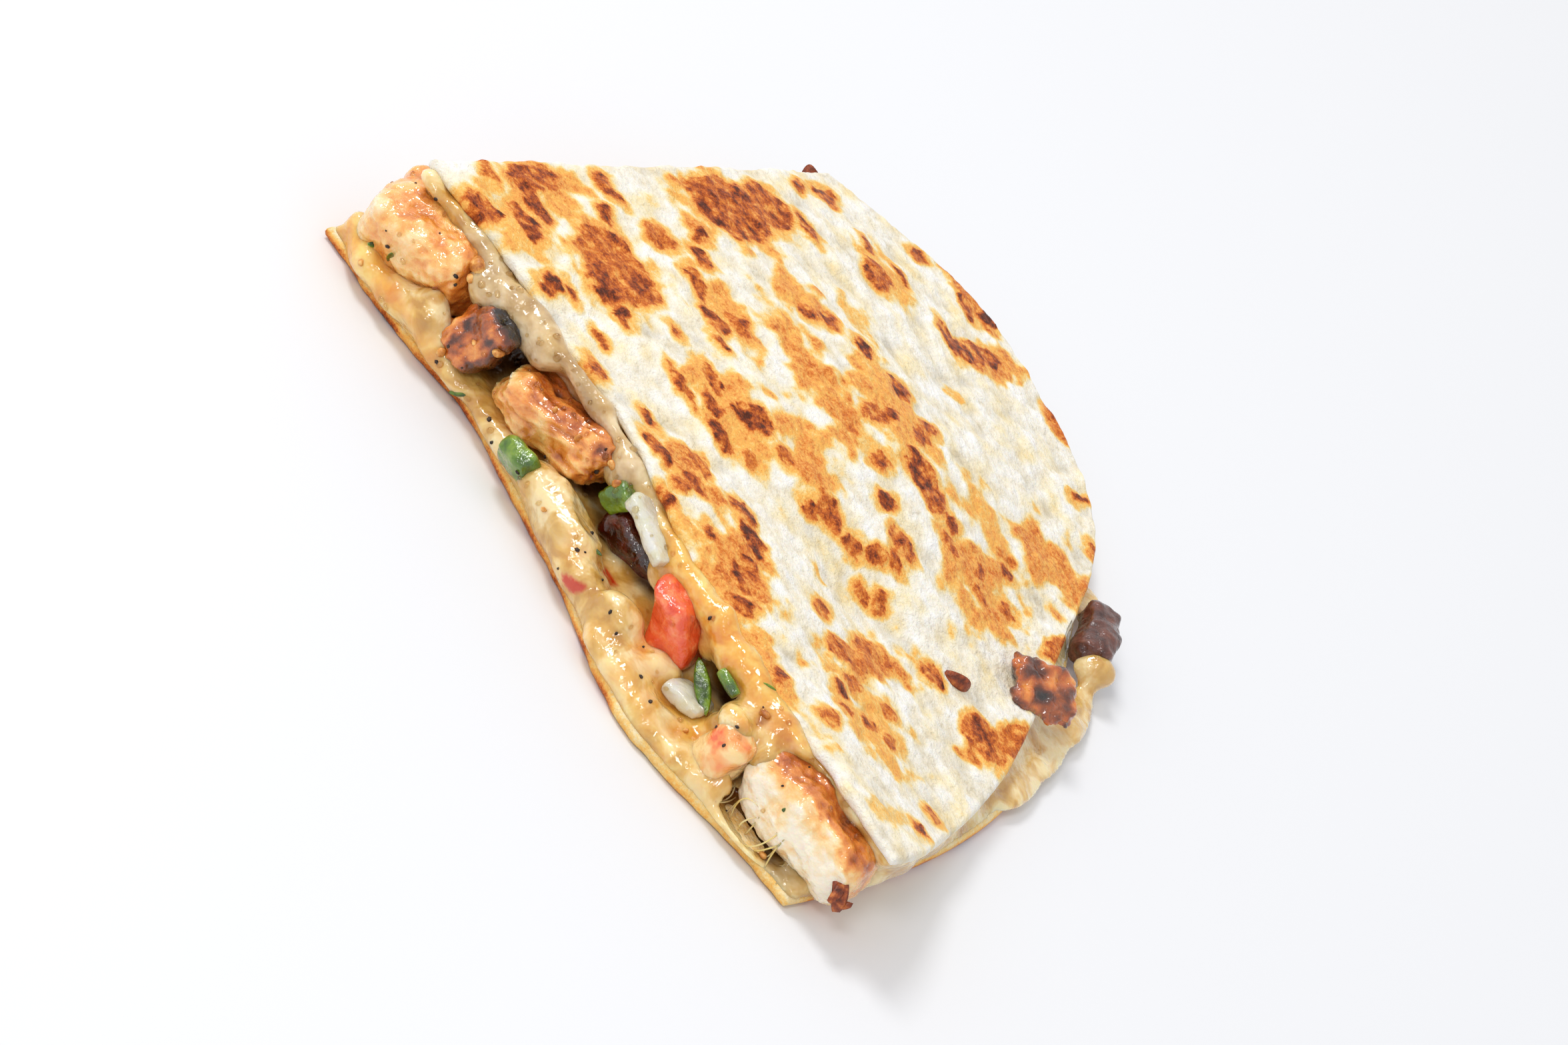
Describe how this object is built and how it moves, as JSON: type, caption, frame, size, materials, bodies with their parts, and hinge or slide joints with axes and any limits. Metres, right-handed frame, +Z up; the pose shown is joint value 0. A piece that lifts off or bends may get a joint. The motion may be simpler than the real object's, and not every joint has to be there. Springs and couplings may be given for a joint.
{
  "type": "quesadilla wedge",
  "caption": "Wedge of a grilled chicken quesadilla: browned flour tortillas over melted cheese, chicken, tomato, onion and pepper.",
  "frame": {"origin": "centre of the bounding box in plan, on the surface that the lower tortilla rests on", "axes": "+Z up, one cut face looks to -Y and the other to -X, so that the cut corner points to -X -Y"},
  "size_m": [0.1285, 0.1338, 0.0201],
  "materials": {
    "tortilla": "griddled wheat flour bread, pale with brown blisters",
    "cheese": "melted, glossy and slightly translucent",
    "chicken": "moist grilled meat with seared edges",
    "charred": "charred crust, rough",
    "tomato": "wet, translucent flesh",
    "onion": "wet, translucent",
    "pepper": "wet green flesh and leaf",
    "mushroom": "fried dark, moist"
  },
  "bodies": {
    "root": {"lower_tortilla": "tortilla", "upper_tortilla": "tortilla", "melted_cheese": "cheese", "chicken_tip": "chicken", "chicken_charred": "charred", "chicken_middle": "chicken", "chicken_end": "chicken", "tomato_front": "tomato", "tomato_deep": "tomato", "tomato_end": "tomato", "onion_front": "onion", "onion_low": "onion", "pepper_front": "pepper", "pepper_strip": "pepper", "chicken_side_near": "chicken", "tomato_side": "tomato", "chicken_side_middle": "charred", "onion_side": "onion", "chicken_side_far": "chicken", "mushroom_rim": "mushroom", "crisp_scrap": "charred"}
  },
  "joints": []
}
